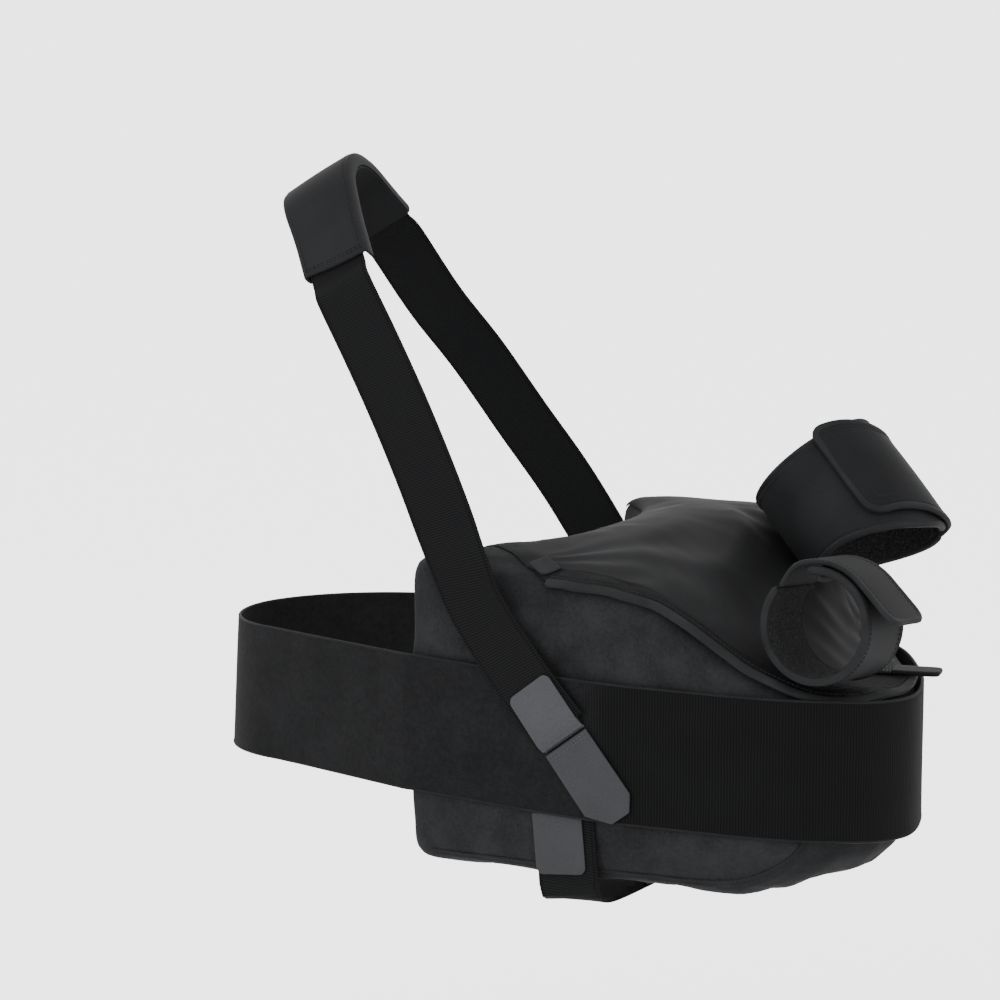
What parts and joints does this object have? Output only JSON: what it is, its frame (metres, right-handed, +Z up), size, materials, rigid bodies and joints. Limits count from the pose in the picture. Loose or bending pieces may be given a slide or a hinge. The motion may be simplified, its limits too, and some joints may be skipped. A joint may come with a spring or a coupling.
{
  "type": "arm sling",
  "caption": "Abduction arm sling: wedge cushion on a waist belt, padded shoulder strap, upper-arm and wrist cuffs with hook-and-loop flaps.",
  "frame": {"origin": "on the axis of the wearer's trunk, at the mid height of the waist belt", "axes": "+X towards the wearer's left side, +Y towards the wearer's back, +Z up"},
  "size_m": [0.5601, 0.3409, 0.5136],
  "materials": {
    "core_foam": "open-cell cushion foam",
    "cover_velour": "matt loop velour",
    "belt_cloth": "brushed loop cloth, ribbed on the left half",
    "strap_webbing": "fine cross-ribbed webbing",
    "cuff_twill": "smooth laminated twill",
    "cuff_lining": "knitted terry lining",
    "edge_binding": "folded edge tape",
    "hook_tape": "grey hook-and-loop tape",
    "zip_plastic": "moulded coil zip"
  },
  "bodies": {
    "sling": {"foam_core": "core_foam", "front_cover_panel": "cover_velour", "lateral_gusset_panel": "cover_velour", "top_cover_panel": "cover_velour", "bottom_cover_panel": "cover_velour", "body_side_panel": "cover_velour", "front_end_panel": "cover_velour", "rear_end_panel": "cover_velour", "front_panel_binding": "edge_binding", "zip_tape": "zip_plastic", "zip_chain": "zip_plastic", "waist_belt": "belt_cloth", "shoulder_strap": "strap_webbing", "front_tab_lower_leaf": "hook_tape", "lower_tab_outer_leaf": "hook_tape", "lower_tab_inner_leaf": "hook_tape", "lower_tab_end_leaf": "hook_tape", "pad_base_cloth": "cuff_twill", "pad_foam": "core_foam", "pad_cover": "cuff_twill", "forearm_sheet": "cuff_twill", "forearm_base_strap": "strap_webbing", "base_strap_binding": "edge_binding", "base_strap_start_tab": "hook_tape", "base_strap_end_tab": "hook_tape", "upper_arm_cuff_lining": "cuff_lining", "upper_arm_cuff_shell": "cuff_twill", "upper_arm_cuff_upper_binding": "edge_binding", "upper_arm_cuff_lower_binding": "edge_binding", "wrist_cuff_lining": "cuff_lining", "wrist_cuff_shell": "cuff_twill", "wrist_cuff_rear_binding": "edge_binding", "wrist_cuff_front_binding": "edge_binding"},
    "belt_tab": {"belt_tab_leaf": "hook_tape", "belt_tab_hook_face": "hook_tape"},
    "front_tab_end": {"front_tab_end_leaf": "hook_tape"},
    "front_tab_upper": {"front_tab_upper_leaf": "hook_tape"},
    "upper_arm_closure": {"upper_arm_flap": "cuff_twill", "upper_arm_flap_binding": "edge_binding", "upper_arm_flap_hook_patch": "hook_tape"},
    "wrist_closure": {"wrist_flap": "cuff_twill", "wrist_flap_binding": "edge_binding", "wrist_flap_hook_patch": "hook_tape"},
    "zip_pull": {"zip_slider": "zip_plastic"}
  },
  "joints": [
    {"name": "belt_tab_peel", "type": "hinge", "parent": "sling", "child": "belt_tab", "pos_m": [0.11224, 0.09701, 0.00012], "axis": [0, 0, -1], "range_deg": [0, 65]},
    {"name": "front_tab_end_peel", "type": "hinge", "parent": "sling", "child": "front_tab_end", "pos_m": [0.15526, -0.19194, 0.00796], "axis": [-0.7904, 0.1241, -0.5999], "range_deg": [0, 70]},
    {"name": "front_tab_upper_peel", "type": "hinge", "parent": "sling", "child": "front_tab_upper", "pos_m": [0.1532, -0.19527, 0.00997], "axis": [0.7879, -0.1267, 0.6027], "range_deg": [0, 70]},
    {"name": "upper_arm_flap_peel", "type": "hinge", "parent": "sling", "child": "upper_arm_closure", "pos_m": [0.3553, 0.01484, 0.16763], "axis": [-0.6415, 0.2632, 0.7206], "range_deg": [0, 70]},
    {"name": "wrist_flap_peel", "type": "hinge", "parent": "sling", "child": "wrist_closure", "pos_m": [0.30918, -0.1617, 0.12441], "axis": [-0.253, -0.9622, 0.101], "range_deg": [0, 70]},
    {"name": "zip_slide", "type": "slide", "parent": "sling", "child": "zip_pull", "axis": [1, 0, 0], "range_m": [-0.165, 0]}
  ]
}
